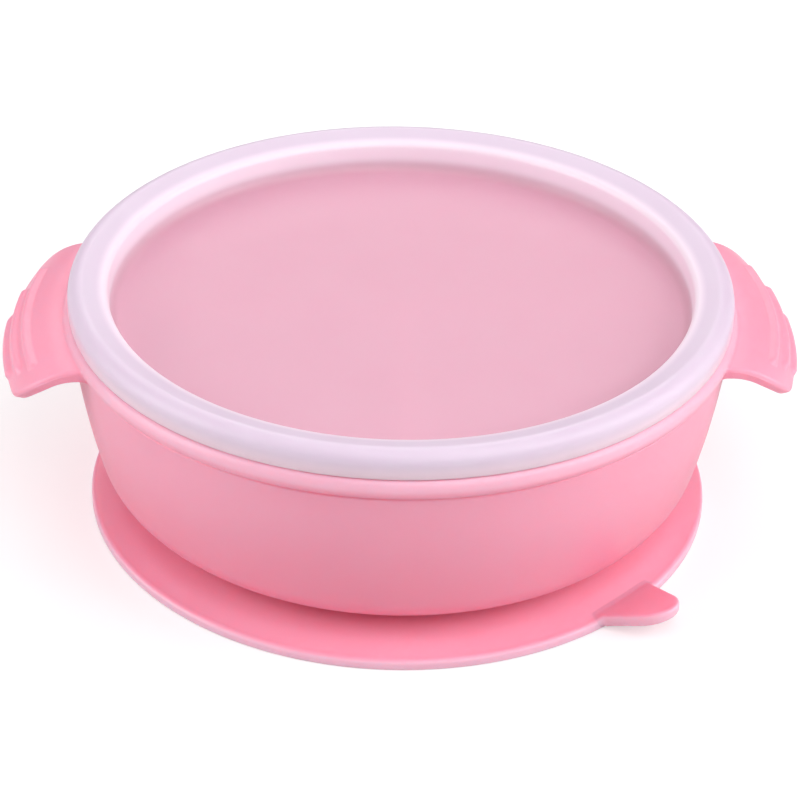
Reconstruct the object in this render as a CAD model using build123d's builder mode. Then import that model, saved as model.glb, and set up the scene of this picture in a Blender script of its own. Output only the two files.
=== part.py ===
from build123d import *
import os
from math import asin, atan, cos, degrees, radians, sin, sqrt, tan

# Suction bowl for a child: soft silicone bowl with two ear handles, a press-on
# lid and a suction cup with a release tab.  Millimetres, +Z up.
# Origin: centre of the suction lip, on the plane the bowl stands on.
# +X runs through one handle and -X through the other, -Y is the front;
# the release tab is at the front right.

# ---------------------------------------------------------------- dimensions
# bowl shell, outside
rim_outer_r = 63.2          # upstand that the lid channel drops over
rim_inner_r = 60.4
rim_top_z = 47.6
rim_round = 1.2
bead_r, bead_mid_z = 65.8, 42.0       # rolled bead just under the lid
bead_shoulder_r, bead_top_z = 64.1, 44.15
bead_bottom_z = 40.17
wall_top_r, wall_top_z = 64.7, 39.9
bead_root_r = wall_top_r + 0.02       # where the bead starts, just above the wall
wall_mid_r, wall_mid_z = 62.95, 26.0
wall_low_r, wall_low_z = 60.4, 14.0
bowl_bottom_z = 6.4
bottom_corner_r = 10.0
bottom_corner_inset = 9.703           # corner centre, in from the low end of the wall
bottom_corner_angle = radians(38)     # middle point of the corner arc, from straight down

# bowl shell, inside
floor_top_z = 9.8
inner_top_z = 40.0                    # the inner wall is upright above this
inner_mid_r, inner_mid_z = 60.05, 27.0
inner_low_r, inner_low_z = 57.5, 17.0
inner_corner_r = 8.0
inner_corner_inset = 7.76
inner_corner_angle = radians(40)
socket_r = 12.0                       # blind socket for the suction stud
socket_depth = 1.7

# moulded T divider: one bar across, one short wall to the front
divider_t = 3.0                       # at the top
divider_top_z = 40.0
divider_draft = 1.0                   # degrees
divider_round = 1.2
divider_sink = 1.0                    # starts this far below the floor top
divider_reach = rim_inner_r + 1.0     # from the axis, before trimming
trim_overlap = 0.8                    # the trimmed divider runs this far into the shell
trim_top_z = 41.0
trim_corner = (54.6, 11.2)            # r, z of a point on the trim's bottom corner
trim_floor_inset = 7.0                # its flat bottom ends this far in from inner_low_r

# ear handles
handle_root_r = 62.0
handle_top_z = 42.4
handle_t = 2.25
handle_flat_r = 66.6                  # flat out to here, then it curls down
handle_curl_r = 12.0
handle_tip_r = 77.9
handle_sweep = 40.0                   # degrees revolved to each side of the middle
handle_width_x = 65.0                 # where the half width is given
handle_half_w = 25.6
handle_flare = 0.024                  # extra half width per mm of reach
handle_corner_r = 7.5
handle_edge_round = 0.9
plan_start_x = 58.0                   # cutter that gives the handle its plan shape
plan_bottom_z, plan_height = 30.0, 15.0
rib_size_r = 1.0
rib_proud = 0.7
# grip ribs: radius, then length from the handle's middle to the front and to the back
ribs = (
    (73.4, 20.7, 18.0),
    (75.7, 18.6, 11.5),
    (77.3, 16.4, 5.0),
)

# lid
channel_gap = 0.2                     # round the rim, and from the bead to the skirt
channel_outer_r = rim_outer_r + channel_gap
channel_inner_r = rim_inner_r - channel_gap
channel_top_z = rim_top_z + channel_gap
channel_round = 1.0
channel_inner_low_z = 44.6            # low end of the channel's inner wall
lid_r = 65.0
lid_skirt_z = bead_top_z + channel_gap
lid_top_z = 49.5
lid_outer_round = 2.7
lid_crest_r = 62.0
lid_inner_r = 57.3
lid_inner_top_z = 48.15
lid_inner_round = 1.4
lid_low_round = 0.5
lid_panel_top_z = 42.1
lid_panel_t = 1.3
lid_panel_r = lid_inner_r - 0.5       # recessed panel, top face
lid_panel_fillet = 1.9
lid_under_r = 55.6                    # recessed panel, underside
lid_under_round = 2.5

# suction cup
lip_r = 62.4
lip_top_r, lip_top_z = 61.2, 2.1      # inner edge of the lip's flat top
lip_seal_r = 59.6                     # inner edge of the flat sealing band
lip_round = 1.0
lip_low_round = 0.35
shoulder_r, shoulder_z = 50.5, 4.12   # upper end of the skirt's outer slope
skirt_flat_r = 44.0
skirt_hole_r = 30.0
skirt_top_z = 4.2
skirt_roof_r, skirt_roof_z = 46.0, 2.2  # underside of the cup, flat out to this radius
hub_r = skirt_hole_r - 0.15
neck_r = 14.0
neck_fillet = 1.5
neck_fillet_mid = 0.44                # its middle point, out and up from the sharp corner
stud_r = socket_r - 0.05
stud_top_z = bowl_bottom_z + socket_depth - 0.1

# release tab
tab_azimuth = -46.7                   # degrees from +X
tab_slope = radians(20.0)             # rises away from the lip
tab_t = 2.4
tab_plane_r, tab_plane_z = 60.0, 2.27  # a point on the plane of its top face
tab_tip_r = 72.7
tab_nose_r = 3.9
tab_side_angle = radians(23.8)
tab_hinge_r = 63.75
tab_edge_round = 0.8


# ------------------------------------------------------------------- helpers
def upright_plane(azimuth):
    """Plane through the Z axis: local x points outwards at azimuth, local y points up."""
    angle = radians(azimuth)
    return Plane(origin=(0, 0, 0), x_dir=(cos(angle), sin(angle), 0),
                 z_dir=(sin(angle), -cos(angle), 0))


def corners_at(sketch, *points):
    """Vertices of a sketch that lie at the given points."""
    return sketch.vertices().filter_by(
        lambda v: any(abs(v.X - x) < 0.02 and abs(v.Y - y) < 0.02 for x, y in points))


def curl_point(radius, angle):
    """(r, z) on a circle about the handle's curl centre, angle measured from straight up."""
    return (handle_flat_r + radius * sin(angle),
            handle_top_z - handle_curl_r + radius * cos(angle))


def on_handle_top(edge):
    """Side, corner and tip edges of the handle's top face."""
    middle = edge @ 0.5
    r = sqrt(middle.X ** 2 + middle.Y ** 2)
    past_flat = max(0.0, r - handle_flat_r)
    top = handle_top_z - handle_curl_r + sqrt(handle_curl_r ** 2 - past_flat ** 2)
    return abs(middle.Z - top) < 0.02 and (abs(middle.Y) > 15 or r > handle_tip_r - 0.1)


def handle_side():
    """Plan points of the +Y side: start and end of the edge, corner middle, corner end."""
    flare_angle = atan(handle_flare)
    along_side = Vector(cos(flare_angle), sin(flare_angle))
    inward = Vector(sin(flare_angle), -cos(flare_angle))
    side_base = Vector(handle_width_x, handle_half_w)
    side_start = Vector(plan_start_x,
                        handle_half_w + handle_flare * (plan_start_x - handle_width_x))
    # slide the corner circle along the side until it touches the outer arc
    centre_base = side_base + inward * handle_corner_r
    projection = centre_base.dot(along_side)
    slide = -projection + sqrt(projection ** 2 - centre_base.dot(centre_base)
                               + (handle_tip_r - handle_corner_r) ** 2)
    centre = centre_base + along_side * slide
    side_end = side_base + along_side * slide
    corner_end = centre * (handle_tip_r / (handle_tip_r - handle_corner_r))
    bisector = ((side_end - centre) + (corner_end - centre)).normalized()
    return side_start, side_end, centre + bisector * handle_corner_r, corner_end


def export_piece(part, name):
    part.label = name
    export_step(part, f"parts/{name}.step")


# -------------------------------------------------------------------- pieces
def make_handle():
    """The +X ear: a flange, level at the bead, that curls down at its free edge."""
    tip_angle = asin((handle_tip_r - handle_flat_r) / handle_curl_r)
    under_r = handle_curl_r - handle_t
    under_z = handle_top_z - handle_t
    with BuildPart() as handle:
        with BuildSketch(upright_plane(-handle_sweep)):
            with BuildLine():
                top_root = (handle_root_r, handle_top_z)
                top_bend = (handle_flat_r, handle_top_z)
                top_tip = curl_point(handle_curl_r, tip_angle)
                under_tip = curl_point(under_r, tip_angle)
                under_bend = (handle_flat_r, under_z)
                under_root = (handle_root_r, under_z)
                Line(top_root, top_bend)
                ThreePointArc(top_bend, curl_point(handle_curl_r, tip_angle / 2), top_tip)
                Line(top_tip, under_tip)
                ThreePointArc(under_tip, curl_point(under_r, tip_angle / 2), under_bend)
                Line(under_bend, under_root)
                Line(under_root, top_root)
            make_face()
        revolve(axis=Axis.Z, revolution_arc=2 * handle_sweep)

        # plan shape: two edges that open slightly outwards and large round corners
        side_start, _, _, corner_end = handle_side()
        with BuildSketch(Plane.XY.offset(plan_bottom_z)):
            with BuildLine():
                for side in (1, -1):
                    start, end, corner_mid, corner = [(p.X, side * p.Y) for p in handle_side()]
                    Line(start, end)
                    ThreePointArc(end, corner_mid, corner)
                ThreePointArc((corner_end.X, corner_end.Y), (handle_tip_r, 0),
                              (corner_end.X, -corner_end.Y))
                Line((side_start.X, -side_start.Y), (side_start.X, side_start.Y))
            make_face()
        extrude(amount=plan_height, mode=Mode.INTERSECT)
        fillet(handle.edges().filter_by(on_handle_top), handle_edge_round)

        # grip ribs with ball ends, concentric with the bowl
        for rib_r, front_length, back_length in ribs:
            front = degrees(front_length / rib_r)
            back = degrees(back_length / rib_r)
            centre_r, centre_z = curl_point(handle_curl_r + rib_proud - rib_size_r,
                                            asin((rib_r - handle_flat_r) / handle_curl_r))
            with BuildSketch(upright_plane(-front)):
                with Locations((centre_r, centre_z)):
                    Circle(rib_size_r)
            revolve(axis=Axis.Z, revolution_arc=front + back)
            for end in (-front, back):
                with Locations((centre_r * cos(radians(end)), centre_r * sin(radians(end)),
                                centre_z)):
                    Sphere(rib_size_r)
    return handle.part


def make_divider():
    """Drafted T, trimmed just outside the inner face of the shell."""
    height = divider_top_z - floor_top_z + divider_sink
    low_t = divider_t + 2 * height * tan(radians(divider_draft))
    trim_top = (rim_inner_r + trim_overlap, trim_top_z)
    trim_low = (inner_low_r + trim_overlap, inner_low_z)
    trim_floor_z = floor_top_z - trim_overlap
    trim_floor = (inner_low_r - trim_floor_inset, trim_floor_z)
    with BuildPart() as divider:
        with BuildSketch(Plane.XY.offset(floor_top_z - divider_sink)):
            Rectangle(2 * divider_reach, low_t)
            with Locations((0, -divider_reach / 2)):
                Rectangle(low_t, divider_reach)
        extrude(amount=height, taper=divider_draft)
        long_top_edges = divider.edges().filter_by(
            lambda edge: abs((edge @ 0.5).Z - divider_top_z) < 0.01 and edge.length > 5)
        fillet(long_top_edges, divider_round)
        with BuildSketch(Plane.XZ):
            with BuildLine():
                ThreePointArc(trim_top, (inner_mid_r + trim_overlap, inner_mid_z), trim_low)
                ThreePointArc(trim_low, trim_corner, trim_floor)
                Polyline(trim_floor, (0, trim_floor_z), (0, trim_top_z), trim_top)
            make_face()
        revolve(axis=Axis.Z, mode=Mode.INTERSECT)
    return divider.part


def make_bowl():
    """Turned shell with its socket, both handles and the divider."""
    handle = make_handle()
    divider = make_divider()
    corner_x = wall_low_r - bottom_corner_inset
    corner_z = bowl_bottom_z + bottom_corner_r
    inner_corner_x = inner_low_r - inner_corner_inset
    rim_outer_top = (rim_outer_r, rim_top_z)
    rim_inner_top = (rim_inner_r, rim_top_z)
    with BuildPart() as bowl:
        with BuildSketch(Plane.XZ) as section:
            with BuildLine():
                # bottom and outer wall
                Line((0, floor_top_z), (0, bowl_bottom_z))
                Line((0, bowl_bottom_z), (corner_x, bowl_bottom_z))
                ThreePointArc((corner_x, bowl_bottom_z),
                              (corner_x + bottom_corner_r * sin(bottom_corner_angle),
                               corner_z - bottom_corner_r * cos(bottom_corner_angle)),
                              (wall_low_r, wall_low_z))
                ThreePointArc((wall_low_r, wall_low_z), (wall_mid_r, wall_mid_z),
                              (wall_top_r, wall_top_z))
                # bead and rim
                Line((wall_top_r, wall_top_z), (bead_root_r, bead_bottom_z))
                ThreePointArc((bead_root_r, bead_bottom_z), (bead_r, bead_mid_z),
                              (bead_shoulder_r, bead_top_z))
                Polyline((bead_shoulder_r, bead_top_z), (rim_outer_r, bead_top_z),
                         rim_outer_top, rim_inner_top, (rim_inner_r, inner_top_z))
                # inner wall and floor
                ThreePointArc((rim_inner_r, inner_top_z), (inner_mid_r, inner_mid_z),
                              (inner_low_r, inner_low_z))
                ThreePointArc((inner_low_r, inner_low_z),
                              (inner_corner_x + inner_corner_r * sin(inner_corner_angle),
                               floor_top_z + inner_corner_r * (1 - cos(inner_corner_angle))),
                              (inner_corner_x, floor_top_z))
                Line((inner_corner_x, floor_top_z), (0, floor_top_z))
            make_face()
            fillet(corners_at(section, rim_outer_top, rim_inner_top), rim_round)
        revolve(axis=Axis.Z)
        with Locations((0, 0, bowl_bottom_z)):
            Cylinder(socket_r, socket_depth, align=(Align.CENTER, Align.CENTER, Align.MIN),
                     mode=Mode.SUBTRACT)
        add(handle)
        add(handle.mirror(Plane.YZ))
        add(divider)
    return bowl.part


def make_lid():
    """Turned lid: a recessed panel inside a raised ring with a channel for the rim."""
    panel_under_z = lid_panel_top_z - lid_panel_t
    under_edge = (lid_under_r, panel_under_z)
    channel_inner_low = (channel_inner_r, channel_inner_low_z)
    channel_inner_top = (channel_inner_r, channel_top_z)
    channel_outer_top = (channel_outer_r, channel_top_z)
    channel_outer_low = (channel_outer_r, lid_skirt_z)
    skirt_low = (lid_r, lid_skirt_z)
    outer_top = (lid_r, lid_top_z)
    inner_top = (lid_inner_r, lid_inner_top_z)
    panel_edge = (lid_panel_r, lid_panel_top_z)
    rounds = (
        (lid_outer_round, [outer_top]),
        (lid_inner_round, [inner_top]),
        (lid_panel_fillet, [panel_edge]),
        (lid_under_round, [under_edge]),
        (lid_low_round, [skirt_low, channel_outer_low, channel_inner_low]),
        (channel_round, [channel_outer_top, channel_inner_top]),
    )
    with BuildPart() as lid:
        with BuildSketch(Plane.XZ) as section:
            with BuildLine():
                Polyline((0, lid_panel_top_z), (0, panel_under_z), under_edge,
                         channel_inner_low, channel_inner_top,
                         channel_outer_top, channel_outer_low,
                         skirt_low, outer_top, (lid_crest_r, lid_top_z),
                         inner_top, panel_edge, (0, lid_panel_top_z))
            make_face()
            for radius, corners in rounds:
                fillet(corners_at(section, *corners), radius)
        revolve(axis=Axis.Z)
    return lid.part


def make_suction_base():
    """Turned skirt of the suction cup, open in the middle for the hub."""
    lip_top = (lip_top_r, lip_top_z)
    shoulder = (shoulder_r, shoulder_z)
    roof_edge = (skirt_roof_r, skirt_roof_z)
    with BuildPart() as suction_base:
        with BuildSketch(Plane.XZ) as section:
            with BuildLine():
                Polyline((lip_seal_r, 0), (lip_r, 0), (lip_r, lip_top_z), lip_top)
                Spline(lip_top, (56.5, 3.2), shoulder,
                       tangents=[(-1, 0.16), (-1, 0.06)])
                Polyline(shoulder, (skirt_flat_r, skirt_top_z), (skirt_hole_r, skirt_top_z),
                         (skirt_hole_r, skirt_roof_z), roof_edge)
                Spline(roof_edge, (54.0, 1.5), (lip_seal_r, 0),
                       tangents=[(1, 0), (1, -0.35)])
            make_face()
            fillet(corners_at(section, (lip_r, lip_top_z)), lip_round)
            fillet(corners_at(section, (lip_r, 0)), lip_low_round)
        revolve(axis=Axis.Z)
    return suction_base.part


def make_suction_hub():
    """Turned disc in the skirt's hole, with a neck up to the bowl and a stud in its socket."""
    fillet_out = (neck_r + neck_fillet, skirt_top_z)
    fillet_up = (neck_r, skirt_top_z + neck_fillet)
    with BuildPart() as suction_hub:
        with BuildSketch(Plane.XZ):
            with BuildLine():
                Polyline((0, skirt_roof_z), (hub_r, skirt_roof_z), (hub_r, skirt_top_z),
                         fillet_out)
                ThreePointArc(fillet_out,
                              (neck_r + neck_fillet_mid, skirt_top_z + neck_fillet_mid),
                              fillet_up)
                Polyline(fillet_up, (neck_r, bowl_bottom_z), (stud_r, bowl_bottom_z),
                         (stud_r, stud_top_z), (0, stud_top_z), (0, skirt_roof_z))
            make_face()
        revolve(axis=Axis.Z)
    return suction_hub.part


def make_pull_tab():
    """Plate that rises from the lip; its root is a half round on the bending line."""
    upright = upright_plane(tab_azimuth)
    hinge_z = (tab_plane_z + (tab_hinge_r - tab_plane_r) * tan(tab_slope)
               - tab_t / 2 / cos(tab_slope))
    # the tab's middle plane, origin on the bending line
    tab_mid = Plane(
        origin=upright.from_local_coords(Vector(tab_hinge_r, hinge_z, 0)),
        x_dir=upright.from_local_coords(Vector(cos(tab_slope), sin(tab_slope), 0)),
        z_dir=upright.from_local_coords(Vector(-sin(tab_slope), cos(tab_slope), 0)))

    # outline: straight sides that narrow to the nose; radii become lengths up the slope
    side_r = tab_tip_r - tab_nose_r + tab_nose_r * sin(tab_side_angle)
    side_y = tab_nose_r * cos(tab_side_angle)
    root_half = side_y + (side_r - tab_hinge_r) * tan(tab_side_angle)
    side_x = (side_r - tab_hinge_r) / cos(tab_slope)
    tip_x = (tab_tip_r - tab_hinge_r) / cos(tab_slope)

    def is_outer_edge(edge):
        """Edge of the top or bottom face, clear of the root."""
        middle = tab_mid.to_local_coords(edge @ 0.5)
        return abs(abs(middle.Z) - tab_t / 2) < 0.01 and middle.X > 0.5

    with BuildPart() as pull_tab:
        with BuildSketch(tab_mid.offset(-tab_t / 2)):
            with BuildLine():
                Polyline((side_x, side_y), (0, root_half), (0, -root_half), (side_x, -side_y))
                ThreePointArc((side_x, -side_y), (tip_x, 0), (side_x, side_y))
            make_face()
        extrude(amount=tab_t)
        fillet(pull_tab.edges().filter_by(is_outer_edge), tab_edge_round)
        with BuildSketch(Plane(origin=tab_mid.origin - upright.z_dir * root_half,
                               x_dir=upright.x_dir, z_dir=upright.z_dir)):
            Circle(tab_t / 2)
        extrude(amount=2 * root_half)
    return pull_tab.part


os.makedirs("parts", exist_ok=True)
export_piece(make_bowl(), "bowl")
export_piece(make_lid(), "lid")
export_piece(make_suction_base(), "suction_base")
export_piece(make_suction_hub(), "suction_hub")
export_piece(make_pull_tab(), "pull_tab")
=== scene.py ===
"""Suction bowl: a soft silicone bowl with two ears, a T-shaped divider, a
press-on lid, a suction cup and a release tab.

The bowl stands on the XY plane with its axis on Z.  The ears point along +X
and -X, the front is -Y.  Shapes are drawn in millimetres and become metres
when a mesh is made; materials, lights and camera are in metres.
"""
import math

import bmesh
import bpy
import numpy as np
from mathutils import Matrix, Vector


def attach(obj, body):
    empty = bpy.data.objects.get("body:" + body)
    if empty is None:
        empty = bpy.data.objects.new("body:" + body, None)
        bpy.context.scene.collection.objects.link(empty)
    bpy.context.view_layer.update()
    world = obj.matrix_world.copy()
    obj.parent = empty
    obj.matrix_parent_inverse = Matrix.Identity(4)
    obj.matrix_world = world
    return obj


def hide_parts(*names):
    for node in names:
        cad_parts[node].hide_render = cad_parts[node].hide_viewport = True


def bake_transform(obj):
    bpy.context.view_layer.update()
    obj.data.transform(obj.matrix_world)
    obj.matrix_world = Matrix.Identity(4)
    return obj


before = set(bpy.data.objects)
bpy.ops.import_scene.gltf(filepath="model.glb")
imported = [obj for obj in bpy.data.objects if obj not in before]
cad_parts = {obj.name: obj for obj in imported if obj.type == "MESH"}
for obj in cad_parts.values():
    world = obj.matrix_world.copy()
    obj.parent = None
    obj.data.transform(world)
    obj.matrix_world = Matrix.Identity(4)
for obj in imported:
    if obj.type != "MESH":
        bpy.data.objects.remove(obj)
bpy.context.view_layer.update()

MM = 0.001
QUARTER_TURN = math.pi / 2
FULL_TURN = 2 * math.pi


# =====================================================================
# curves
# =====================================================================
def arc3(start, middle, end, count):
    """count points on the circle arc start -> middle -> end, ends included."""
    (ax, ay), (bx, by), (cx, cy) = start, middle, end
    a_square, b_square, c_square = ax**2 + ay**2, bx**2 + by**2, cx**2 + cy**2
    divisor = 2 * (ax * (by - cy) + bx * (cy - ay) + cx * (ay - by))
    centre_x = (a_square * (by - cy) + b_square * (cy - ay) + c_square * (ay - by)) / divisor
    centre_y = (a_square * (cx - bx) + b_square * (ax - cx) + c_square * (bx - ax)) / divisor
    radius = math.hypot(ax - centre_x, ay - centre_y)
    first, second, last = (math.atan2(y - centre_y, x - centre_x) for x, y in (start, middle, end))
    span = (last - first) % FULL_TURN
    if (second - first) % FULL_TURN >= span:
        span = -((first - last) % FULL_TURN)
    angles = first + span * np.linspace(0, 1, count)
    return np.stack([centre_x + radius * np.cos(angles), centre_y + radius * np.sin(angles)], 1)


def on_circle(centre, radius, angles):
    return [centre + radius * np.array([math.cos(angle), math.sin(angle)]) for angle in angles]


def sweep(centre, radius, start, end, fractions):
    """Points at the given fractions of the shorter arc from start to end."""
    first = math.atan2(*(start - centre)[::-1])
    last = math.atan2(*(end - centre)[::-1])
    span = math.remainder(last - first, FULL_TURN)
    return on_circle(centre, radius, [first + span * t for t in fractions])


def between(start, end, fractions):
    return [start + (end - start) * t for t in fractions]


def round_poly(corners, arc_step, line_step):
    """Polyline with rounded corners; corners holds (x, y, corner radius).
    The steps set how finely arcs and straight runs are cut."""
    points = [np.array(corner[:2], float) for corner in corners]
    groups = []
    for i, (point, corner) in enumerate(zip(points, corners)):
        radius = corner[2]
        if not radius:
            groups.append([point])
            continue
        before, after = points[i - 1] - point, points[i + 1] - point
        before, after = before / np.linalg.norm(before), after / np.linalg.norm(after)
        angle = math.acos(max(-1, min(1, float(before @ after))))
        tangent = radius / math.tan(angle / 2)
        halfway = (before + after) / np.linalg.norm(before + after)
        centre = point + halfway * (radius / math.sin(angle / 2))
        count = max(3, int((math.pi - angle) * radius / arc_step) + 2)
        groups.append(sweep(centre, radius, point + before * tangent, point + after * tangent,
                            np.linspace(0, 1, count)))
    path = []
    for group in groups:
        if path:
            cuts = int(np.linalg.norm(group[0] - path[-1]) / line_step)
            path += between(path[-1], group[0], np.linspace(0, 1, cuts + 2)[1:-1])
        path += group
    return np.array(path)


def bezier(t, start, pull_start, pull_end, end):
    return ((1 - t) ** 3 * start + 3 * (1 - t) ** 2 * t * pull_start
            + 3 * (1 - t) * t**2 * pull_end + t**3 * end)


def hermite_chain(points, start_tangent, end_tangent):
    """Smooth chain through points, 10 points to a span, as an array."""
    points = [np.array(point, float) for point in points]
    tangents = [np.array(start_tangent, float)]
    tangents += [(after - before) / 2 for before, after in zip(points, points[2:])]
    tangents.append(np.array(end_tangent, float))
    path = []
    for i in range(len(points) - 1):
        for t in np.linspace(0, 1, 10)[(1 if i else 0):]:
            path.append((2 * t**3 - 3 * t**2 + 1) * points[i]
                        + (t**3 - 2 * t**2 + t) * tangents[i]
                        + (-2 * t**3 + 3 * t**2) * points[i + 1]
                        + (t**3 - t**2) * tangents[i + 1])
    return np.array(path)


def lengths(path):
    """Distance along the path at each of its points."""
    return np.concatenate([[0], np.cumsum(np.linalg.norm(np.diff(path, axis=0), axis=1))])


def point_along(path, fraction):
    distances = lengths(path)
    distance = fraction * distances[-1]
    return np.interp(distance, distances, path[:, 0]), np.interp(distance, distances, path[:, 1])


def meet_circle(start, direction, radius):
    """Where the line from start leaves the circle about the origin."""
    along = start @ direction
    return start + direction * (-along + math.sqrt(along * along - start @ start + radius**2))


def arc_sag(radius, distance):
    """How far an arc has fallen from its tangent at this distance."""
    return radius - np.sqrt(np.maximum(radius**2 - distance**2, 0))


def smooth_step(x):
    x = np.clip(x, 0, 1)
    return x * x * (3 - 2 * x)


# =====================================================================
# meshes
# =====================================================================
def piece(name, verts, faces):
    """Smooth-shaded object from millimetre points, faces turned outwards."""
    mesh = bpy.data.meshes.new(name)
    mesh.from_pydata([tuple(vert) for vert in np.asarray(verts, float) * MM], [], faces)
    mesh.validate(verbose=False)
    mesh.update()
    ob = bpy.data.objects.new(name, mesh)
    bpy.context.scene.collection.objects.link(ob)
    shade_smooth(mesh)
    work = bmesh.new()
    work.from_mesh(mesh)
    bmesh.ops.recalc_face_normals(work, faces=work.faces)
    if work.calc_volume(signed=True) < 0:
        bmesh.ops.reverse_faces(work, faces=work.faces)
    work.to_mesh(mesh)
    work.free()
    mesh.update()
    return ob


def shade_smooth(mesh):
    for polygon in mesh.polygons:
        polygon.use_smooth = True


def spin(rows, turn, start_z, end_z):
    """Closed skin round the axis, with a pole at each end.  A row is
    (radius, z), each one number or one per column; turn is each column's angle."""
    radii = np.array([np.broadcast_to(radius, turn.shape) for radius, _ in rows]).T
    heights = np.array([np.broadcast_to(z, turn.shape) for _, z in rows]).T
    cos, sin = np.cos(turn)[:, None], np.sin(turn)[:, None]
    grid = np.stack([radii * cos, radii * sin, heights], -1)
    columns, count, _ = grid.shape
    verts = [*grid.reshape(-1, 3), (0, 0, start_z), (0, 0, end_z)]
    starts = [(i * count, (i + 1) % columns * count) for i in range(columns)]
    faces = [(here + k, there + k, there + k + 1, here + k + 1)
             for here, there in starts for k in range(count - 1)]
    pole = columns * count
    faces += [(pole, there, here) for here, there in starts]
    faces += [(pole + 1, here + count - 1, there + count - 1) for here, there in starts]
    return verts, faces


def lathe(profile):
    """Turned part; the profile runs from the axis round to the axis."""
    turn = np.linspace(0, FULL_TURN, 288, endpoint=False)
    return spin(profile[1:-1], turn, profile[0, 1], profile[-1, 1])


def union(target, other):
    """Joins other into target as one closed skin and removes other."""
    modifier = target.modifiers.new("join", "BOOLEAN")
    modifier.operation, modifier.object, modifier.solver = "UNION", other, "MANIFOLD"
    depsgraph = bpy.context.evaluated_depsgraph_get()
    joined = bpy.data.meshes.new_from_object(target.evaluated_get(depsgraph))
    target.modifiers.clear()
    old = target.data
    joined.name = old.name
    target.data = joined
    bpy.data.meshes.remove(old)
    bpy.data.objects.remove(other)
    shade_smooth(joined)


# =====================================================================
# bowl: one skin from underside to rim to floor, ears included
# =====================================================================
BOTTOM_Z = 6.4
SOCKET_Z = 8.1
FLOOR_Z = 9.8
RIM_INNER_R = 60.4
BEAD_R = 65.8          # outside of the bead below the rim

# ear in section: flat at first, then curled down
EAR_START_R = 64.5
FLAT_R, CURL_R, TIP_R = 66.6, 12.0, 77.9
TOP_Z, THICK = 42.4, 2.25
UNDER_Z = TOP_Z - THICK
FLAT_RUN = FLAT_R - EAR_START_R
CURL_Z = TOP_Z - CURL_R
MID_R = CURL_R - THICK / 2
EDGE_TOP, EDGE_LOW = 1.0, 0.35      # rounding of the free edge

# ear in plan
SIDE_POINT = np.array([65.0, 25.6])
FLARE = math.atan(0.024)
CORNER_R, PLAN_FILLET = 7.5, 2.0

# where the ear's lower root leaves the wall, and the height it takes
ROOT_Z, ROOT_RISE = 37.9, 1.5
LOW_RUN = 1.5          # run at which the ear's flat underside starts

# grip ribs: plan radius, reach to the front and to the back of the ear,
# half width, length of the fade at the back end, height
RIBS = (
    (73.4, 20.9, 17.7, 1.1, 1.0, 0.88),
    (75.75, 18.8, 13.0, 1.05, 1.6, 0.78),
    (77.35, 16.6, 7.5, 1.0, 4.0, 0.75),
)

# (radius, z) sections
OUTER_WALL = arc3((60.4, 14.0), (62.95, 26.0), (64.7, 39.9), 60)
BEAD_RING = arc3((64.7, 40.17), (BEAD_R, 42.1), (64.5, 44.17), 401)
BEAD_LOW = int(np.searchsorted(lengths(BEAD_RING), 0.45))     # end of the crease below
BEAD_HIGH = int(np.argmax(BEAD_RING[:, 1] > 42.95))           # root of the ear's top
BEAD_ARC = BEAD_RING[BEAD_LOW:BEAD_HIGH + 1]

# shares of the bead arc used by the ear's free edge and by its top
BEAD_EDGE_SHARE, BEAD_TOP_SHARE, BEAD_ROOT_SHARE = 0.3, 0.55, 0.15


def wall_at(z):
    """Radius of the bowl's outer wall at height z."""
    return float(np.interp(z, OUTER_WALL[:, 1], OUTER_WALL[:, 0]))


def inside_wall(count):
    """Inside wall and the round corner to the floor, count points to an arc."""
    wall_foot = (57.5, 17.0)
    corner_r, halfway = 8.0, math.radians(40)
    floor_edge = 57.5 - corner_r * 0.97
    wall = arc3((RIM_INNER_R, 40.0), (60.05, 27.0), wall_foot, count)
    corner_middle = (floor_edge + corner_r * math.sin(halfway),
                     FLOOR_Z + corner_r * (1 - math.cos(halfway)))
    corner = arc3(wall_foot, corner_middle, (floor_edge, FLOOR_Z), count)
    return np.concatenate([wall, corner[1:]])


def ear_outline():
    """Quarter outline of an ear in plan, from the middle of the tip round the
    corner and along the side to where its fillet runs out on the bead."""
    along = np.array([math.cos(FLARE), math.sin(FLARE)])
    normal = np.array([-math.sin(FLARE), math.cos(FLARE)])
    corner = meet_circle(SIDE_POINT - normal * CORNER_R, along, TIP_R - CORNER_R)
    side_end = corner + normal * CORNER_R
    tip_end = corner * TIP_R / (TIP_R - CORNER_R)
    fillet = meet_circle(SIDE_POINT + normal * PLAN_FILLET, along, BEAD_R + PLAN_FILLET)
    side_start = fillet - normal * PLAN_FILLET
    bead_end = fillet * BEAD_R / (BEAD_R + PLAN_FILLET)

    tip_angle = math.atan2(tip_end[1], tip_end[0])
    points = on_circle(0, TIP_R, np.linspace(0, tip_angle, int(tip_angle * TIP_R / 0.75)))
    fractions = np.linspace(0, 1, 44)[1:]
    fractions = fractions + 0.12 * np.sin(math.pi * fractions)  # closer towards the side
    points += sweep(corner, CORNER_R, tip_end, side_end, fractions)
    count = max(2, int(np.linalg.norm(side_end - side_start) / 0.25))
    points += between(side_end, side_start, np.linspace(0, 1, count + 1)[1:])
    points += sweep(fillet, PLAN_FILLET, side_start, bead_end, np.linspace(0, 1, 15)[1:])
    return np.array(points)


def section_point(run, offset):
    """Radius and height in the ear's section: run goes out from EAR_START_R
    along its middle, offset is across it."""
    run, offset = np.broadcast_arrays(np.asarray(run, float), np.asarray(offset, float))
    angle = np.maximum(0.0, run - FLAT_RUN) / MID_R
    flat = run <= FLAT_RUN
    radius = np.where(flat, EAR_START_R + run, FLAT_R + (MID_R + offset) * np.sin(angle))
    z = np.where(flat, TOP_Z - THICK / 2 + offset, CURL_Z + (MID_R + offset) * np.cos(angle))
    return radius, z


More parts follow.
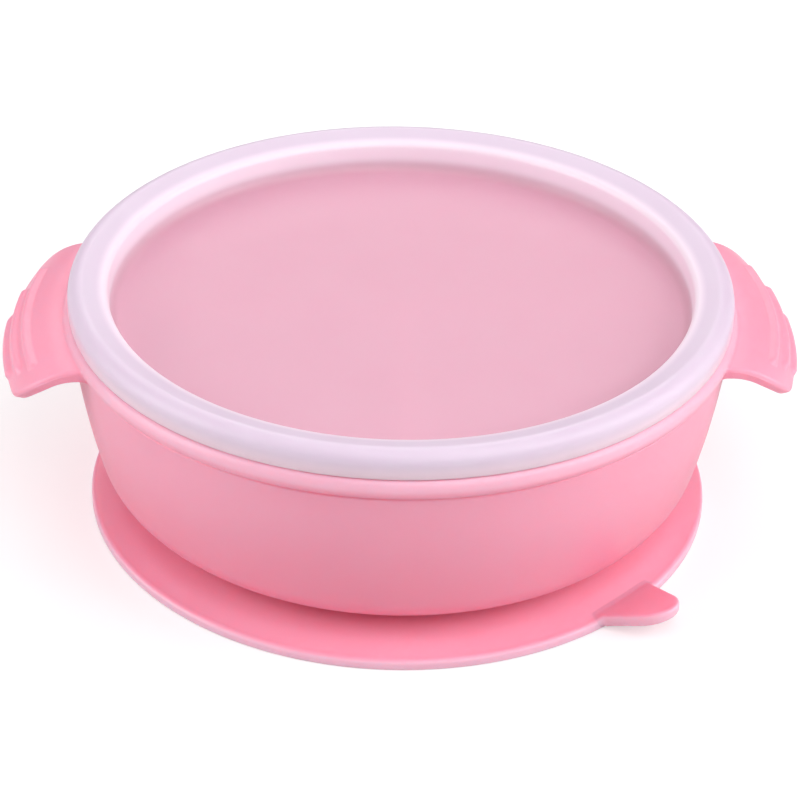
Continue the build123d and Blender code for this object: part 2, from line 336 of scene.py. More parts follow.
def run_at(radius):
    """Run at which the ear's top has this plan radius."""
    radius = np.asarray(radius, float)
    curled = FLAT_RUN + MID_R * np.arcsin(np.clip((radius - FLAT_R) / CURL_R, 0, 1))
    return np.where(radius <= FLAT_R, radius - EAR_START_R, curled)


def rib_height(run, angle):
    """Height of the grip ribs above the ear's skin; angle is positive at the back."""
    height = np.zeros(np.broadcast(run, angle).shape)
    for radius, front, rear, half_width, fade, rise in RIBS:
        across = run - float(run_at(radius))
        past_rear = (angle * radius - (rear - half_width * fade)) / fade
        past_front = -angle * radius - (front - half_width)
        along = np.maximum(0.0, np.where(angle > 0, past_rear, past_front))
        distance = np.sqrt(across**2 + along**2) / half_width
        bump = np.cos(np.clip(distance, 0, 1) * math.pi / 2) ** 1.25
        height = np.maximum(height, bump * rise)
    return height


def section_in_space(run, angle):
    """Points on the ear's middle surface."""
    radius, z = section_point(run, 0.0)
    return np.stack([radius * np.cos(angle), radius * np.sin(angle), z], 1)


def ear_edge(outline):
    """The outline, finely cut, on the ear's middle surface."""
    fine = [outline[0]]
    for start, end in zip(outline[:-1], outline[1:]):
        count = max(1, int(np.linalg.norm(end - start) / 0.1))
        fine += between(start, end, np.linspace(0, 1, count + 1)[1:])
    fine = np.array(fine)
    edge = section_in_space(run_at(np.hypot(fine[:, 0], fine[:, 1])),
                            np.arctan2(fine[:, 1], fine[:, 0]))
    # a few points past the middle of the tip
    return np.concatenate([edge, edge[:6] * np.array([1, -1, 1])])


def bowl_columns(outline):
    """Turn, angle from the nearest ear's middle and plan radius of each column."""
    angles = np.arctan2(outline[:, 1], outline[:, 0])
    ear_end = angles[-1]
    # bead columns up to the y axis, opening out from the fillet
    angle, gap = ear_end, math.radians(0.22)
    bead = []
    while angle + gap < QUARTER_TURN:
        angle += gap
        bead.append(angle)
        gap = min(gap * 1.25, math.radians(1.5))
    bead = np.array(bead)
    bead = ear_end + (bead - ear_end) * (QUARTER_TURN - ear_end) / (bead[-1] - ear_end)
    angles = np.concatenate([angles, bead])
    radii = np.concatenate([np.hypot(outline[:, 0], outline[:, 1]), np.full(len(bead), BEAD_R)])
    # start angle, direction and columns of the four quarters
    quarters = (
        (0, 1, slice(None)),
        (math.pi, -1, slice(-2, None, -1)),
        (math.pi, 1, slice(1, None)),
        (FULL_TURN, -1, slice(-2, 0, -1)),
    )
    turn = np.concatenate([start + sign * angles[part] for start, sign, part in quarters])
    angles, radii = (np.concatenate([values[part] for _, _, part in quarters])
                     for values in (angles, radii))
    return turn, angles, radii


def underside_rows():
    """Blind socket for the cup's stud, flat bottom, round corner, outer wall."""
    rows = [*round_poly([(3.0, SOCKET_Z, 0), (12.0, SOCKET_Z, 0.4), (12.0, BOTTOM_Z, 0.3),
                         (14.0, BOTTOM_Z, 0)], arc_step=0.35, line_step=3.0)[:-1]]
    rows += [(radius, BOTTOM_Z) for radius in (14.0, 22.0, 32.0, 42.0, 47.5)]
    rows += [*arc3((50.697, BOTTOM_Z), (56.853, 8.52), (60.4, 14.0), 12)]
    rows += [(wall_at(z), z) for z in np.linspace(14.0, 37.4, 15)[1:]]
    return rows


def ear_rows(outline, turn, angles, radii):
    """Rows from the outer wall round the ear, fading into rows round the bead."""
    rows = []
    ear_weight = smooth_step((radii - BEAD_R) / 1.7)    # 0 on the bead, 1 on the ear
    edge_run = run_at(radii)
    edge = ear_edge(outline)
    side = angles * np.sign(np.round(np.sin(turn), 9))  # positive at the back

    def add(bead, ear):
        rows.append([(1 - ear_weight) * on_bead + ear_weight * on_ear
                     for on_bead, on_ear in zip(bead, ear)])

    def edge_sag(run, rounding):
        points = section_in_space(run, angles)
        distance = np.sqrt(((points[:, None] - edge[None]) ** 2).sum(-1)).min(1)
        return arc_sag(rounding, np.clip(rounding - distance, 0, rounding))

    # lower root of the ear: the wall turns out into the underside
    for t in np.linspace(0, 1, 7):
        z = ROOT_Z + t * ROOT_RISE
        add((wall_at(z), z),
            bezier(t, np.array([wall_at(ROOT_Z), ROOT_Z]), np.array([wall_at(38.9), 38.9]),
                   np.array([64.95, UNDER_Z]), np.array([EAR_START_R + LOW_RUN, UNDER_Z])))

    # underside of the ear / crease under the bead
    crease = round_poly([(wall_at(39.4), 39.4, 0), (wall_at(39.7), 39.7, 0.18),
                         (64.32, 40.12, 0.16), (*BEAD_RING[BEAD_LOW], 0)],
                        arc_step=0.05, line_step=0.15)
    for t in np.linspace(0, 1, 18)[1:]:
        toward_edge = 1 - (1 - t) ** 1.8        # closer together near the free edge
        run = LOW_RUN + (edge_run - LOW_RUN) * toward_edge
        run = np.where(edge_run > LOW_RUN, run, edge_run)
        add(point_along(crease, t), section_point(run, -THICK / 2 + edge_sag(run, EDGE_LOW)))

    # free edge / lower part of the bead; the outermost rib swells the edge
    low, high = -THICK / 2 + EDGE_LOW, THICK / 2 - EDGE_TOP
    edge_rib = rib_height(edge_run, side)
    swell_out, swell_up = 0.35 * edge_rib, 0.2 * edge_rib
    for t in np.linspace(0, 1, 5)[1:]:
        add(point_along(BEAD_ARC, BEAD_EDGE_SHARE * t),
            section_point(edge_run + swell_out * t, low + (high - low) * t + swell_up * t))

    # top of the ear / upper part of the bead
    root_run = BEAD_R + np.minimum(0.55, 0.5 * (radii - BEAD_R)) - EAR_START_R
    for t in (0.004, 0.012, 0.024, 0.04, 0.058, 0.078,
              *np.linspace(0.1, 0.62, 30), *np.linspace(0.64, 1.0, 20)):
        run = edge_run - (edge_run - root_run) * t
        offset = THICK / 2 - edge_sag(run, EDGE_TOP) + rib_height(run, side)
        push = swell_out * np.clip(1 - t / 0.1, 0, 1)
        root = section_point(run + push, offset)
        add(point_along(BEAD_ARC, BEAD_EDGE_SHARE + BEAD_TOP_SHARE * t), root)

    # concave root between the ear's top and the bead
    root_radius, root_z = root
    end = BEAD_ARC[-1]
    tangent = (end - BEAD_ARC[-4]) / np.linalg.norm(end - BEAD_ARC[-4])
    pull = end - tangent * 0.35
    root_pull = root_radius - 0.75 * (root_radius - BEAD_R)
    for t in np.linspace(0, 1, 8)[1:]:
        add(point_along(BEAD_ARC, BEAD_EDGE_SHARE + BEAD_TOP_SHARE + BEAD_ROOT_SHARE * t),
            (bezier(t, root_radius, root_pull, pull[0], end[0]),
             bezier(t, root_z, root_z, pull[1], end[1])))
    return rows


def inside_rows():
    """Bead shoulder, upstand, rim, inside wall and floor."""
    rows = [*BEAD_RING[BEAD_HIGH::(400 - BEAD_HIGH) // 8][1:]]
    rows += [*round_poly([(64.2, 44.19, 0), (63.2, 44.19, 0.3), (63.2, 47.6, 1.2),
                          (RIM_INNER_R, 47.6, 1.2), (RIM_INNER_R, 44.0, 0)],
                         arc_step=0.3, line_step=1.5)]
    rows += [(RIM_INNER_R, 42.0), *inside_wall(12)]
    rows += [(radius, FLOOR_Z) for radius in (44.0, 36.0, 27.0, 18.0, 9.0, 3.0)]
    return rows


def bowl_mesh():
    outline = ear_outline()
    turn, angles, radii = bowl_columns(outline)
    rows = underside_rows() + ear_rows(outline, turn, angles, radii) + inside_rows()
    return spin(rows, turn, SOCKET_Z, FLOOR_Z)


# =====================================================================
# divider: a low T-shaped wall, a bar across and a stem to the front,
# drafted, with a round top and filleted to floor and wall
# =====================================================================
DIVIDER_TOP, DIVIDER_THICK = 40.0, 3.0
DRAFT = math.radians(1.0)
FOOT_FILLET, TOP_ROUND, WALL_FILLET = 4.0, 1.2, 3.5
WALL_OVERLAP = 0.9     # how far the ends run on into the bowl


def divider_ring(z):
    """Plan outline of the divider at height z."""
    level = max(z, FLOOR_Z)
    half = DIVIDER_THICK / 2 + (DIVIDER_TOP - level) * math.tan(DRAFT)
    if level < FLOOR_Z + FOOT_FILLET:
        half += arc_sag(FOOT_FILLET, FOOT_FILLET - (level - FLOOR_Z))
    if level > DIVIDER_TOP - TOP_ROUND:
        half -= arc_sag(TOP_ROUND, level - (DIVIDER_TOP - TOP_ROUND))
    inside = inside_wall(40)[::-1]
    wall_r = float(np.interp(level, [*inside[:, 1], 48.0], [*inside[:, 0], RIM_INNER_R]))
    reach = math.sqrt(max(wall_r**2 - (half + 0.6) ** 2, 1))
    junction = 3.5 + max(0.0, half - 2.2)       # fillet between bar and stem

    def half_at(x):
        """Half width at x from the middle, growing into the wall fillet."""
        gap = reach - x
        if gap >= WALL_FILLET:
            return half
        return half + arc_sag(WALL_FILLET, WALL_FILLET - max(gap, 0.0))

    end = reach + WALL_OVERLAP
    straight = end - WALL_OVERLAP - WALL_FILLET
    ease_out = np.sin(np.linspace(0, 1, 12)[1:] * math.pi / 2)
    tail = [*(straight + WALL_FILLET * ease_out), end]
    arm = [*np.linspace(half + junction, straight, 18), *tail]
    back = [(x, half_at(x)) for x in (*np.linspace(0, straight, 22), *tail)]
    front = [(x, -half_at(x)) for x in arm[::-1]]
    front += [(half + junction - junction * math.sin(angle),
               -(half + junction - junction * math.cos(angle)))
              for angle in np.linspace(0, QUARTER_TURN, 8)[1:-1]]
    front += [(half_at(x), -x) for x in arm]

    def mirrored(points):
        return [(-x, y) for x, y in points[::-1]]

    return [(x, y, z) for x, y in mirrored(back) + back[1:] + front + mirrored(front)]


def divider_mesh():
    foot = 1 - np.cos(np.linspace(0.12, 1, 9) * math.pi / 2)
    crown = np.sin(np.linspace(0, 1, 8)[1:] * math.pi / 2)
    levels = np.concatenate([
        [9.2],                          # sunk below the floor
        FLOOR_Z + FOOT_FILLET * foot,
        np.linspace(14.6, DIVIDER_TOP - TOP_ROUND, 9),
        DIVIDER_TOP - TOP_ROUND + TOP_ROUND * crown,
    ])
    rings = np.array([divider_ring(z) for z in levels])
    count, around, _ = rings.shape
    faces = []
    for i in range(count - 1):
        here, above = i * around, (i + 1) * around
        for j in range(around):
            k = (j + 1) % around
            faces.append((above + j, above + k, here + k, here + j))
    faces.append(tuple(range(around)))
    faces.append(tuple(range((count - 1) * around, count * around))[::-1])
    return rings.reshape(-1, 3), faces


bowl = piece("bowl_skin", *bowl_mesh())
union(bowl, piece("divider_part", *divider_mesh()))

# =====================================================================
# lid: raised soft ring with a channel underneath, sunk flat panel
# =====================================================================
# radius, z, corner radius
LID_PROFILE = [
    (0, 42.1, 0), (56.8, 42.1, 1.9), (57.3, 48.15, 1.4), (62.0, 49.5, 2.0),
    (65.0, 49.5, 2.7), (65.0, 44.32, 0.28), (63.4, 44.32, 0.4), (63.4, 47.8, 1.0),
    (60.2, 47.8, 1.0), (60.2, 44.6, 0.5), (55.6, 40.8, 2.5), (0, 40.8, 0),
]
lid = piece("lid_skin", *lathe(round_poly(LID_PROFILE, arc_step=0.25, line_step=1.2)))

# =====================================================================
# suction cup: one membrane from stud to sealing lip
# =====================================================================
LIP_R, LIP_Z = 62.4, 2.1
LIP_TOP_ROUND, LIP_LOW_ROUND = 1.0, 0.35
LIP_TOP_END, LIP_LOW_END = 61.2, 59.6      # radii where the skirt meets the lip
CUP_TOP, CUP_UNDER = 4.2, 2.2              # flat middle of the membrane

SKIRT = hermite_chain([(LIP_TOP_END, LIP_Z), (56.5, 3.2), (50.5, 4.12), (44.0, CUP_TOP)],
                      (-4.5, 0.6), (-5.5, 0.02))[::-1]


def cup_profile():
    skirt_under = hermite_chain([(46.0, CUP_UNDER), (54.0, 1.5), (LIP_LOW_END, 0.0)],
                                (7, 0), (5.2, -1.4))[::-1]
    stud = round_poly([(0, 8.0, 0), (11.9, 8.0, 0.3), (11.9, 6.38, 0.1), (14.0, 6.38, 0.2),
                       (14.0, CUP_TOP, 1.5), (18.0, CUP_TOP, 0)], arc_step=0.25, line_step=3.0)
    lip = round_poly([(LIP_TOP_END, LIP_Z, 0), (LIP_R, LIP_Z, LIP_TOP_ROUND),
                      (LIP_R, 0.0, LIP_LOW_ROUND), (LIP_LOW_END, 0.0, 0)],
                     arc_step=0.12, line_step=0.6)
    return np.concatenate([
        stud,
        [(radius, CUP_TOP) for radius in (24.0, 31.0, 38.0)],
        SKIRT,
        lip[1:],
        skirt_under[1:],
        [(radius, CUP_UNDER) for radius in (40.0, 30.0, 20.0, 10.0, 0)],
    ])


cup = piece("cup_skin", *lathe(cup_profile()))

# =====================================================================
# release tab: a tapered plate that grows out of the lip with soft fillets.
# A structured skin is pulled onto the smooth union of lip and plate.
# Its own frame: along runs outwards from the bowl's axis, across sideways.
# =====================================================================
TAB_TURN = math.radians(-46.7)
TAB_TILT = math.radians(20.0)
TAB_THICK = 2.4
TAB_INNER_END = 56.8
NOSE_R = 5.3
NOSE_ALONG = 72.7 - NOSE_R
TAPER = math.radians(19.1)
NOSE_CENTRE = np.array([NOSE_ALONG, 0.0])
SIDE_NORMAL = np.array([math.sin(TAPER), math.cos(TAPER)])
NOSE_SIDE = NOSE_CENTRE + SIDE_NORMAL * NOSE_R     # where nose and side meet
TAB_FILLET = 1.6       # between lip and side, in plan
BLEND_INNER, BLEND_OUTER = 0.55, 1.3
OFF_LIP_R = LIP_R + 0.3

# top of skirt and lip, run on past the lip's edge
LIP_TOP_RADII = np.concatenate([SKIRT[:, 0], [61.8, 70.0]])
LIP_TOP_HEIGHTS = np.concatenate([SKIRT[:, 1], [LIP_Z, LIP_Z]])


def plate_top(along):
    return 2.27 + (along - 60.0) * math.tan(TAB_TILT)


def plan_distance(along, across):
    """Signed distance to the plate's plan outline, negative inside."""
    across = np.abs(across)
    to_side = (along - NOSE_SIDE[0]) * SIDE_NORMAL[0] + (across - NOSE_SIDE[1]) * SIDE_NORMAL[1]
    to_nose = np.hypot(along - NOSE_ALONG, across) - NOSE_R
    at_nose = (along - NOSE_ALONG) * math.cos(TAPER) - across * math.sin(TAPER) > 0
    return np.maximum(np.where(at_nose, to_nose, to_side), TAB_INNER_END - along)


def rounded_corner(one, other, radius):
    """Signed distance to two faces that meet in a rounded outer corner."""
    one, other = one + radius, other + radius
    outside = np.hypot(np.maximum(one, 0), np.maximum(other, 0))
    return outside + np.minimum(np.maximum(one, other), 0) - radius


def rounded_slab(top, bottom, side):
    return np.maximum(rounded_corner(top, side, LIP_TOP_ROUND),
                      rounded_corner(bottom, side, LIP_LOW_ROUND))


def lip_field(radius, z):
    """Signed distance to the cup's outer band, negative inside."""
    slopes = np.gradient(LIP_TOP_HEIGHTS, LIP_TOP_RADII)
    slope = np.interp(radius, LIP_TOP_RADII, slopes)
    top = (z - np.interp(radius, LIP_TOP_RADII, LIP_TOP_HEIGHTS)) / np.sqrt(1 + slope**2)
    return rounded_slab(top, -z, radius - LIP_R)


def plate_field(along, across, z):
    """Signed distance to the plate, negative inside."""
    top = (z - plate_top(along)) * math.cos(TAB_TILT)
    under_z = plate_top(along) - TAB_THICK / math.cos(TAB_TILT)
    # the underside stays off the table inside the lip
    under_z = np.maximum(under_z, 1.25 - smooth_step((along - 61.6) / 2.6) * 1.25)
    return rounded_slab(top, (under_z - z) * math.cos(TAB_TILT), plan_distance(along, across))


def tab_field(points):
    """Smooth union of lip and plate."""
    along, across, z = points.T
    radius = np.hypot(along, across)
    lip = lip_field(radius, z)
    plate = plate_field(along, across, z)
    blend = BLEND_INNER + (BLEND_OUTER - BLEND_INNER) * smooth_step((radius - 60.9) / 1.2)
    overlap = np.maximum(blend - np.abs(lip - plate), 0) / blend
    # sunk a hair where only the lip is near, so the skin comes out cleanly
    sink = 0.02 + 0.06 * smooth_step((plate - 0.35 * blend) / (0.65 * blend))
    return np.minimum(lip, plate) - overlap * overlap * blend / 4 + sink


def pull_on(points):
    """Newton steps along the gradient onto the zero level of tab_field."""
    probe = 0.01
    for _ in range(14):
        gradient = np.stack([(tab_field(points + shift) - tab_field(points - shift)) / (2 * probe)
                             for shift in np.eye(3) * probe], 1)
        square = np.maximum((gradient**2).sum(1), 0.2)
        step = -tab_field(points)[:, None] * gradient / square[:, None]
        length = np.linalg.norm(step, axis=1)
        points = points + step * np.minimum(1, 0.4 / np.maximum(length, 1e-9))[:, None]
    return points


def tab_outline():
    """Union of lip and plate in plan: lip circle, fillet, side, nose, mirrored."""
    side = np.array([math.cos(TAPER), -math.sin(TAPER)])
    fillet = meet_circle(NOSE_SIDE + SIDE_NORMAL * TAB_FILLET, side, LIP_R + TAB_FILLET)
    side_start = fillet - SIDE_NORMAL * TAB_FILLET
    lip_end = fillet * LIP_R / (LIP_R + TAB_FILLET)
    lip_angle = math.atan2(lip_end[1], lip_end[0])
    half = on_circle(0, LIP_R, np.linspace(0.185, lip_angle, 10)[:-1])
    half += sweep(fillet, TAB_FILLET, lip_end, side_start, np.linspace(0, 1, 12))
    half += between(side_start, NOSE_SIDE, np.linspace(0, 1, 26)[1:])
    half += sweep(NOSE_CENTRE, NOSE_R, NOSE_SIDE, NOSE_CENTRE + np.array([NOSE_R, 0.0]),
                  np.linspace(0, 1, 16)[1:])
    half = np.array(half)
    return np.concatenate([half, half[-2::-1] * np.array([1, -1])])


def top_guess(plan):
    """First heights for the upper skin."""
    along, across = plan.T
    radius = np.hypot(along, across)
    lip = np.interp(radius, LIP_TOP_RADII, LIP_TOP_HEIGHTS)
    plate = np.where(plan_distance(along, across) < 0.2, plate_top(along), -5)
    return np.where(radius > OFF_LIP_R, plate_top(along), np.maximum(lip, plate))


def under_guess(plan):
    """First heights for the lower skin."""
    along, across = plan.T
    off_lip = np.hypot(along, across) > OFF_LIP_R
    return np.where(off_lip, np.maximum(plate_top(along) - 2.55, 0.05), 0.0)


def tab_mesh():
    outline = tab_outline()
    columns = len(outline)
    distances = lengths(outline)
    across = distances / distances[-1] * 2 - 1
    inner = np.stack([np.full(columns, 57.6), -across * 10.9], 1)

    def row(plan, z):
        return np.column_stack([plan, np.broadcast_to(z, columns)])

    top_steps = np.concatenate([np.linspace(0, 0.12, 14), np.linspace(0.14, 0.5, 16),
                                np.linspace(0.53, 1, 22)])
    under_steps = np.concatenate([np.linspace(0, 0.12, 8), np.linspace(0.15, 0.45, 10)])
    grid = [row(inner, 1.9)]            # start line inside the cup's material
    for plan in between(outline, inner, top_steps[::-1]):
        grid.append(row(plan, top_guess(plan)))
    for t in np.linspace(0, 1, 8)[1:-1]:
        grid.append(row(outline, top_guess(outline) * (1 - t) + under_guess(outline) * t))
    for plan in between(outline, inner, under_steps):
        grid.append(row(plan, under_guess(plan)))
    # end line inside the cup's material
    end = outline + (inner - outline) * 0.6
    end_radius = np.hypot(end[:, 0], end[:, 1])
    grid.append(row(end * (np.minimum(end_radius, 61.0) / end_radius)[:, None], 0.9))

    grid = np.array(grid)               # rows, columns, (along, across, z)
    grid[1:-1] = pull_on(grid[1:-1].reshape(-1, 3)).reshape(grid[1:-1].shape)
    along, across, z = np.moveaxis(grid, -1, 0)
    cos, sin = math.cos(TAB_TURN), math.sin(TAB_TURN)
    verts = np.stack([along * cos - across * sin, along * sin + across * cos, z], -1)
    rows = len(grid)
    faces = []
    for i in range(rows):               # closed round the section
        here, there = i * columns, (i + 1) % rows * columns
        for k in range(columns - 1):
            faces.append((here + k, here + k + 1, there + k + 1, there + k))
    faces.append(tuple(i * columns for i in range(rows)))
    faces.append(tuple(i * columns + columns - 1 for i in range(rows))[::-1])
    return verts.reshape(-1, 3), faces


tab = piece("tab_skin", *tab_mesh())


def mark_painted_edge_highlight(ob):
    """Per-vertex weight of the upright faces out at the lip and round the tab,
    where a paler painted highlight goes.  It stays with the skin when
    the tab bends."""
    mesh = ob.data
    attribute = mesh.attributes.new("painted_edge_highlight", "FLOAT", "POINT")
    points = np.array([vert.co[:] for vert in mesh.vertices])
    facing_up = np.array([vert.normal.z for vert in mesh.vertices])
    radius = np.hypot(points[:, 0], points[:, 1]) / MM
    outer = smooth_step((radius - 60.6) / 1.4)
    not_top = 1 - smooth_step((facing_up - 0.45) / 0.43)
    not_under = smooth_step((facing_up + 0.7) / 0.5)
    weight = 0.8 * outer * not_top * not_under
    attribute.data.foreach_set("value", weight.astype(np.float32))


mark_painted_edge_highlight(cup)
mark_painted_edge_highlight(tab)


# =====================================================================
# shader tools
# =====================================================================
def srgb(*channels):
    """Linear colour from 0-255 sRGB channels."""
    def linear(value):
        value /= 255.0
        return value / 12.92 if value <= 0.04045 else ((value + 0.055) / 1.055) ** 2.4
    return (*map(linear, channels), 1.0)


def add_node(tree, kind, **inputs):
    """New node; underscores in the input names stand for spaces."""
    made = tree.nodes.new(kind)
    for name, value in inputs.items():
        made.inputs[name.replace("_", " ")].default_value = value
    return made


def feed(tree, value, socket):
    """Links value if it is a socket, else sets it as the default."""
    if isinstance(value, bpy.types.NodeSocket):
        tree.links.new(value, socket)
    else:
        socket.default_value = value


def calc(tree, operation, *values):
    made = tree.nodes.new("ShaderNodeMath")
    made.operation = operation
    for i, value in enumerate(values):
        feed(tree, value, made.inputs[i])
    return made.outputs[0]


def ease(tree, value, start, end, before=0.0, after=1.0):
    """Smooth step from before to after as value goes from start to end."""
    made = add_node(tree, "ShaderNodeMapRange", From_Min=start, From_Max=end,
                    To_Min=before, To_Max=after)
    made.interpolation_type = "SMOOTHSTEP"
    tree.links.new(value, made.inputs["Value"])
    return made.outputs["Result"]


def tinted(tree, under, over, factor):
    """Colour mix: under where the factor is 0, over where it is 1."""
    made = tree.nodes.new("ShaderNodeMix")
    made.data_type = "RGBA"
    tree.links.new(factor, made.inputs["Factor"])
    feed(tree, under, made.inputs["A"])
    feed(tree, over, made.inputs["B"])
    return made.outputs["Result"]


# =====================================================================
# materials
# =====================================================================
def silicone(name, low, high, roughness, scatter_scale, scatter_radius):
    """Satin silicone.  Returns the material, its tree and shader, the drifting
    body colour (not yet linked), and height and distance from the axis."""
    material = bpy.data.materials.new(name)
    material.use_nodes = True
    tree = material.node_tree
    link = tree.links.new
    tree.nodes.clear()
    output = tree.nodes.new("ShaderNodeOutputMaterial")
    shader = add_node(tree, "ShaderNodeBsdfPrincipled", IOR=1.43, Specular_IOR_Level=0.7,
                      Subsurface_Weight=0.5, Subsurface_Radius=scatter_radius,
                      Subsurface_Scale=scatter_scale)
    link(shader.outputs[0], output.inputs[0])
    place = tree.nodes.new("ShaderNodeTexCoord").outputs["Object"]
    # slow colour drift, as in a thick moulding
    cloud = add_node(tree, "ShaderNodeTexNoise", Scale=28.0, Detail=3.0, Roughness=0.5)
    link(place, cloud.inputs["Vector"])
    ramp = tree.nodes.new("ShaderNodeValToRGB")
    for stop, position, colour in zip(ramp.color_ramp.elements, (0.3, 0.7), (low, high)):
        stop.position, stop.color = position, colour
    link(cloud.outputs["Fac"], ramp.inputs["Fac"])
    # satin skin: fine grain plus faint handling marks
    fine = add_node(tree, "ShaderNodeTexNoise", Scale=2600.0, Detail=2.0, Roughness=0.6)
    marks = add_node(tree, "ShaderNodeTexNoise", Scale=95.0, Detail=4.0, Roughness=0.62)
    link(place, fine.inputs["Vector"])
    link(place, marks.inputs["Vector"])
    rough = add_node(tree, "ShaderNodeMapRange", From_Min=0.3, From_Max=0.7,
                     To_Min=roughness[0], To_Max=roughness[1])
    link(marks.outputs["Fac"], rough.inputs["Value"])
    link(rough.outputs["Result"], shader.inputs["Roughness"])
    mark_share = 0.35
    relief = calc(tree, "MULTIPLY_ADD", marks.outputs["Fac"], mark_share, fine.outputs["Fac"])
    bump = add_node(tree, "ShaderNodeBump", Strength=0.03, Distance=0.0004)
    link(relief, bump.inputs["Height"])
    link(bump.outputs[0], shader.inputs["Normal"])

    axes = tree.nodes.new("ShaderNodeSeparateXYZ")
    link(place, axes.inputs[0])
    x, y, height = axes.outputs
    square = calc(tree, "ADD", calc(tree, "MULTIPLY", x, x), calc(tree, "MULTIPLY", y, y))
    radius = calc(tree, "POWER", square, 0.5)
    return material, tree, shader, ramp.outputs["Color"], height, radius


def pink_silicone():
    material, tree, shader, colour, height, radius = silicone(
        "pink_silicone", low=srgb(254, 160, 185), high=srgb(255, 167, 191),
        roughness=(0.29, 0.40), scatter_scale=0.003, scatter_radius=(1.4, 0.25, 0.22))
    highlight_attribute = tree.nodes.new("ShaderNodeAttribute")
    highlight_attribute.attribute_name = "painted_edge_highlight"
    # painted shade: deeper, redder colour low on the outer wall stands in for shade and pink
    # bounce from the cup
    painted_low_shade = calc(tree, "MULTIPLY",
                    ease(tree, height, start=0.012, end=0.036, before=0.75, after=0.0),
                    ease(tree, height, start=0.0062, end=0.0068))
    colour = tinted(tree, colour, srgb(250, 138, 164), painted_low_shade)
    # painted highlight: paler on the upright faces out at the lip and round the tab, and a painted
    # highlight on top of the bead
    colour = tinted(tree, colour, srgb(255, 198, 218), highlight_attribute.outputs["Fac"])
    bead_top_highlight = calc(tree, "MULTIPLY",
                    ease(tree, height, start=0.0412, end=0.0424, before=0.0, after=0.7),
                    ease(tree, radius, start=0.0658, end=0.0664, before=1.0, after=0.0))
    bead_top_highlight = calc(tree, "MULTIPLY", bead_top_highlight, ease(tree, radius, start=0.0638, end=0.0646))
    colour = tinted(tree, colour, srgb(255, 192, 212), bead_top_highlight)
    tree.links.new(colour, shader.inputs["Base Color"])
    return material


def milky_silicone():
    material, tree, shader, colour, height, radius = silicone(
        "milky_silicone", low=srgb(226, 202, 224), high=srgb(229, 207, 228),
        roughness=(0.34, 0.46), scatter_scale=0.005, scatter_radius=(1.0, 0.8, 0.9))
    # thin sunk panel lets the bowl show through, the thick ring hardly does
    ring = calc(tree, "MAXIMUM", ease(tree, height, start=0.0421, end=0.0462),
                ease(tree, radius, start=0.0585, end=0.0600))
    tree.links.new(ease(tree, ring, start=0.0, end=1.0, before=0.68, after=0.98),
                   shader.inputs["Alpha"])
    # painted light: pink glow of the bowl in the panel, fading up the ring's inner wall to paler
    # painted light, and painted pink bounce low on the skirt
    panel = tinted(tree, srgb(255, 186, 209), srgb(255, 232, 248),
                   ease(tree, height, start=0.0420, end=0.0450))
    colour = tinted(tree, panel, colour, ease(tree, radius, start=0.0574, end=0.0598))
    painted_skirt_bounce = calc(tree, "MULTIPLY",
                     ease(tree, height, start=0.0445, end=0.0482, before=1.0, after=0.0),
                     ease(tree, radius, start=0.0605, end=0.0620))
    colour = tinted(tree, colour, srgb(255, 217, 233), painted_skirt_bounce)
    tree.links.new(colour, shader.inputs["Base Color"])
    return material


pink = pink_silicone()
milky = milky_silicone()
for ob, material, slot in ((bowl, pink, "pink_silicone"), (cup, pink, "pink_silicone"),
                           (tab, pink, "pink_silicone"), (lid, milky, "lid_silicone")):
    ob.data.materials.clear()
    ob.data.materials.append(material)

# =====================================================================
# bodies
# =====================================================================
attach(bowl, "bowl_body")
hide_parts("bowl")
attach(lid, "lid_body")
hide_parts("lid")
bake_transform(cup)
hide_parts("suction_base", "suction_hub")
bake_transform(tab)
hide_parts("pull_tab")


# =====================================================================
# stage, light, camera
# =====================================================================
def floor_paint():
    material = bpy.data.materials.new("floor_paint")
    material.use_nodes = True
    tree = material.node_tree
    shader = tree.nodes["Principled BSDF"]
    shader.inputs["Base Color"].default_value = (0.60, 0.60, 0.605, 1)
    shader.inputs["Roughness"].default_value = 0.9
    shader.inputs["Emission Color"].default_value = (1, 1, 1, 1)
    # a lit sweep: bright to the eye, a gentle bounce for the object
    path = tree.nodes.new("ShaderNodeLightPath")
    glow = add_node(tree, "ShaderNodeMapRange", To_Min=0.13, To_Max=0.45)
    tree.links.new(path.outputs["Is Camera Ray"], glow.inputs["Value"])
    tree.links.new(glow.outputs["Result"], shader.inputs["Emission Strength"])
    return material


def add_floor():
    half = 6
    mesh = bpy.data.meshes.new("floor")
    mesh.from_pydata([(-half, -half, 0), (half, -half, 0), (half, half, 0), (-half, half, 0)],
                     [], [(0, 1, 2, 3)])
    floor = bpy.data.objects.new("floor", mesh)
    bpy.context.scene.collection.objects.link(floor)
    mesh.materials.append(floor_paint())
    floor.location.z = -0.0001      # just clear of the cup's underside


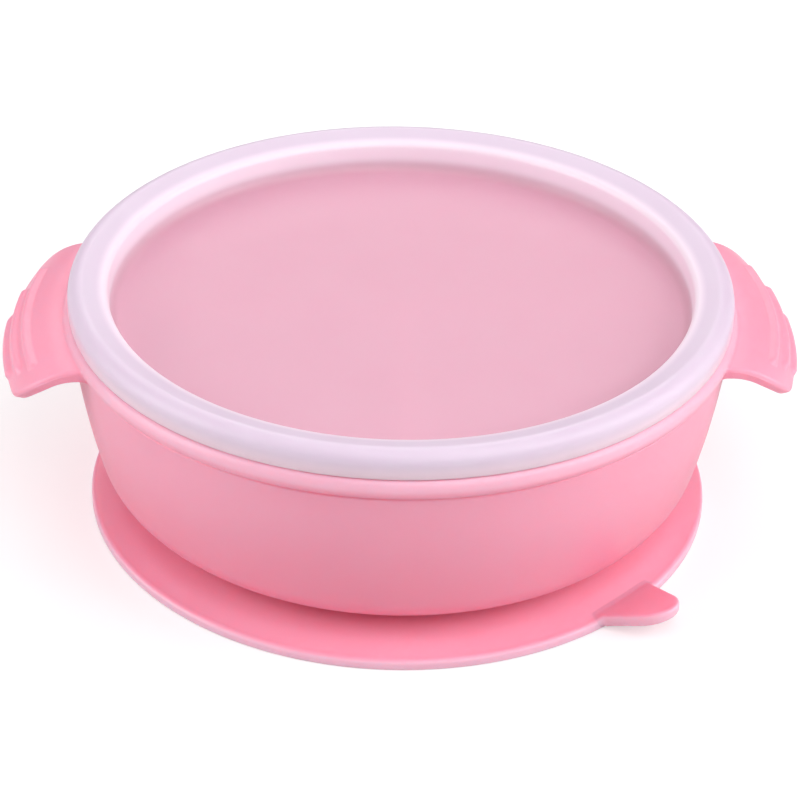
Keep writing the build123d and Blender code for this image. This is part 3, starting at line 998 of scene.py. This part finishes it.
def add_world():
    world = bpy.data.worlds.new("studio")
    bpy.context.scene.world = world
    world.use_nodes = True
    background = world.node_tree.nodes["Background"]
    background.inputs["Color"].default_value = (1.0, 1.0, 1.0, 1)
    background.inputs["Strength"].default_value = 0.13


# name, place, diameter, power in watts
SOFTBOXES = (
    ("left_high", (-0.9, -0.3, 0.6), 0.8, 3.2),
    ("left_low", (-1.0, 0.0, 0.35), 0.8, 3.4),
    ("front_right", (0.30, -0.62, 0.80), 0.9, 4.3),
    ("right_high", (0.9, -0.3, 0.6), 0.8, 4.6),
    ("right_low", (1.0, 0.0, 0.35), 0.8, 2.6),
    ("back_top", (0.0, 0.8, 0.7), 0.8, 2.7),
    ("top", (0.0, -0.1, 1.1), 1.2, 3.2),
)
LIGHT_TARGET = Vector((0, 0, 0.03))


def add_softbox(name, place, size, power):
    light = bpy.data.lights.new(name, "AREA")
    light.shape = "DISK"
    light.size = size
    light.energy = power
    ob = bpy.data.objects.new(name, light)
    bpy.context.scene.collection.objects.link(ob)
    ob.location = place
    ob.rotation_euler = (LIGHT_TARGET - Vector(place)).to_track_quat("-Z", "Y").to_euler()


def add_camera():
    """Camera in front of the bowl, looking down at it."""
    elevation, roll, yaw = (math.radians(angle) for angle in (32.56, 1.14, -2.74))
    aim = Vector((0.000195, 0, 0.01963))
    distance = 0.52
    back = Vector((0, -math.cos(elevation), math.sin(elevation)))
    level_right = Vector((1, 0, 0))
    level_up = back.cross(level_right)
    right = level_right * math.cos(roll) + level_up * math.sin(roll)
    up = level_up * math.cos(roll) - level_right * math.sin(roll)
    pose = Matrix((right, up, back)).transposed().to_4x4()
    pose.translation = aim + back * distance
    data = bpy.data.cameras.new("camera")
    data.sensor_width = 36.0
    data.lens = 116.10576
    data.clip_start, data.clip_end = 0.02, 50
    camera = bpy.data.objects.new("camera", data)
    bpy.context.scene.collection.objects.link(camera)
    camera.matrix_world = Matrix.Rotation(yaw, 4, "Z") @ pose
    bpy.context.scene.camera = camera


add_floor()
add_world()
for softbox in SOFTBOXES:
    add_softbox(*softbox)
add_camera()

view = bpy.context.scene.view_settings
view.view_transform = "Standard"
view.look = "None"
view.exposure = 0.0
view.gamma = 1.0
